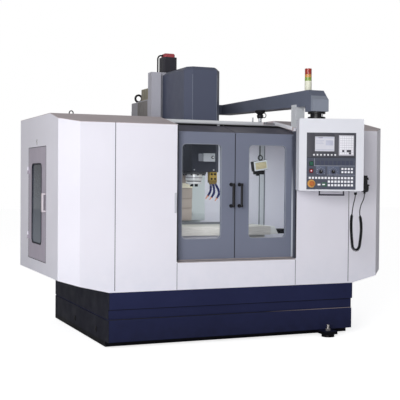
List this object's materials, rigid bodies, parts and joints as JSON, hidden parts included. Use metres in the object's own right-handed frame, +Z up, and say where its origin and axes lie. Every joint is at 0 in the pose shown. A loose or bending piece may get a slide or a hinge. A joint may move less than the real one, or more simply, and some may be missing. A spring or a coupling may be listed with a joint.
{
  "type": "cnc drilling machine",
  "caption": "Enclosed vertical drilling and machining centre with bent sliding doors, a covered head over a slotted table and a swivelling control box on an arm.",
  "frame": {"origin": "on the floor, under the middle of the machine's overall box", "axes": "+Z up, front of the machine towards -Y, its right side as seen from the front towards +X"},
  "size_m": [2.838, 2.174, 2.426],
  "materials": {
    "white_paint": "satin",
    "navy_paint": "satin",
    "door_grey": "satin",
    "head_grey": "satin",
    "casting_grey": "satin",
    "side_door_grey": "satin",
    "arm_grey": "satin",
    "light_grey": "satin",
    "beige_paint": "satin",
    "rail_aluminium": "brushed",
    "ground_steel": "ground",
    "cast_iron": "machined",
    "clear_glass": "clear",
    "brass": "machined",
    "blue_plastic": "matte",
    "black_plastic": "matte",
    "red_plastic": "matte",
    "grey_panel": "matte",
    "white_key": "matte",
    "screen_glass": "gloss",
    "yellow_plastic": "matte",
    "stop_red": "gloss",
    "start_green": "gloss",
    "lens": "gloss",
    "cream_plastic": "matte",
    "rubber": "matte",
    "stainless": "brushed"
  },
  "bodies": {
    "frame": {"base": "navy_paint", "levelling_feet": "stainless", "front_panels": "white_paint", "corner_panels": "white_paint", "side_panels": "white_paint", "rear_panels": "white_paint", "roof_panels": "white_paint", "tray": "light_grey", "sill": "stainless", "top_rail": "rail_aluminium", "bed": "casting_grey", "column": "casting_grey", "column_box": "beige_paint", "cabinet": "light_grey", "lifting_eyes": "stainless", "z_motor": "black_plastic", "z_motor_cap": "red_plastic", "z_motor_lead": "rubber", "arm": "arm_grey", "arm_post": "light_grey", "tower_base": "cream_plastic", "tower_lenses": "lens", "lamp_hanger": "black_plastic", "work_lamp": "rail_aluminium", "lamp_glass": "clear_glass"},
    "left_door": {"left_door": "door_grey", "left_window": "clear_glass", "left_handle": "black_plastic"},
    "right_door": {"right_door": "door_grey", "right_window": "clear_glass", "right_handle": "black_plastic"},
    "side_door": {"side_door": "side_door_grey", "side_window": "clear_glass", "side_handle": "white_key"},
    "saddle": {"saddle": "casting_grey"},
    "table": {"table": "cast_iron"},
    "head": {"head": "head_grey", "head_cover": "head_grey", "coolant_block": "brass", "coolant_hoses": "blue_plastic"},
    "spindle": {"spindle": "ground_steel"},
    "cabinet_door": {"cabinet_door": "light_grey"},
    "control_box": {"swivel": "black_plastic", "control_box": "white_paint", "operator_panel": "grey_panel", "screen": "screen_glass", "keys": "white_key", "stop_switch_disc": "yellow_plastic", "grab_bar": "black_plastic", "hand_unit": "black_plastic", "lead_ends": "rubber", "lead_coil": "rubber"},
    "start_button": {"start_button": "start_green"},
    "stop_button": {"stop_button": "stop_red"},
    "stop_switch": {"stop_switch": "stop_red"},
    "left_dial": {"left_dial": "black_plastic"},
    "right_dial": {"right_dial": "black_plastic"},
    "hand_wheel": {"hand_wheel": "black_plastic"},
    "axis_knob": {"axis_knob": "grey_panel"},
    "step_knob": {"step_knob": "grey_panel"}
  },
  "joints": [
    {"name": "left_door_slide", "type": "slide", "parent": "frame", "child": "left_door", "axis": [-1, 0, 0], "range_m": [0, 0.45]},
    {"name": "right_door_slide", "type": "slide", "parent": "frame", "child": "right_door", "axis": [1, 0, 0], "range_m": [0, 0.45]},
    {"name": "side_door_hinge", "type": "hinge", "parent": "frame", "child": "side_door", "pos_m": [-1.396, 0.40799, 1.065], "axis": [0, 0, -1], "range_deg": [0, 110]},
    {"name": "saddle_slide", "type": "slide", "parent": "frame", "child": "saddle", "axis": [0, 1, 0], "range_m": [-0.24, 0.24]},
    {"name": "table_slide", "type": "slide", "parent": "saddle", "child": "table", "axis": [1, 0, 0], "range_m": [-0.45, 0.45]},
    {"name": "head_slide", "type": "slide", "parent": "frame", "child": "head", "axis": [0, 0, 1], "range_m": [-0.2, 0.2]},
    {"name": "spindle_turn", "type": "hinge", "parent": "head", "child": "spindle", "pos_m": [0.015, 0.17899, 1.24], "axis": [0, 0, 1], "continuous": true},
    {"name": "cabinet_door_hinge", "type": "hinge", "parent": "frame", "child": "cabinet_door", "pos_m": [-0.2562, 1.08099, 1.25], "axis": [0, 0, 1], "range_deg": [0, 110]},
    {"name": "control_box_swivel", "type": "hinge", "parent": "frame", "child": "control_box", "pos_m": [0.618, -0.89201, 1.78], "axis": [0, 0, 1], "range_deg": [-20, 25]},
    {"name": "start_button_press", "type": "slide", "parent": "control_box", "child": "start_button", "axis": [0.342, 0.9397, 0], "range_m": [0, 0.003], "stiffness_N_per_m": 1500, "springref_m": -0.001},
    {"name": "stop_button_press", "type": "slide", "parent": "control_box", "child": "stop_button", "axis": [0.342, 0.9397, 0], "range_m": [0, 0.003], "stiffness_N_per_m": 1500, "springref_m": -0.001},
    {"name": "stop_switch_press", "type": "slide", "parent": "control_box", "child": "stop_switch", "axis": [0.342, 0.9397, 0], "range_m": [0, 0.003], "stiffness_N_per_m": 3000, "springref_m": -0.001},
    {"name": "left_dial_turn", "type": "hinge", "parent": "control_box", "child": "left_dial", "pos_m": [0.61584, -0.97104, 1.339], "axis": [0.342, 0.9397, 0], "range_deg": [-135, 135]},
    {"name": "right_dial_turn", "type": "hinge", "parent": "control_box", "child": "right_dial", "pos_m": [0.70793, -1.00456, 1.339], "axis": [0.342, 0.9397, 0], "range_deg": [-135, 135]},
    {"name": "hand_wheel_turn", "type": "hinge", "parent": "control_box", "child": "hand_wheel", "pos_m": [1.00686, -1.02823, 1.214], "axis": [0.9397, -0.342, 0], "continuous": true},
    {"name": "axis_knob_turn", "type": "hinge", "parent": "control_box", "child": "axis_knob", "pos_m": [1.00002, -1.04702, 1.286], "axis": [0.9397, -0.342, 0], "range_deg": [-75, 75]},
    {"name": "step_knob_turn", "type": "hinge", "parent": "control_box", "child": "step_knob", "pos_m": [1.0137, -1.00943, 1.286], "axis": [0.9397, -0.342, 0], "range_deg": [-75, 75]}
  ]
}
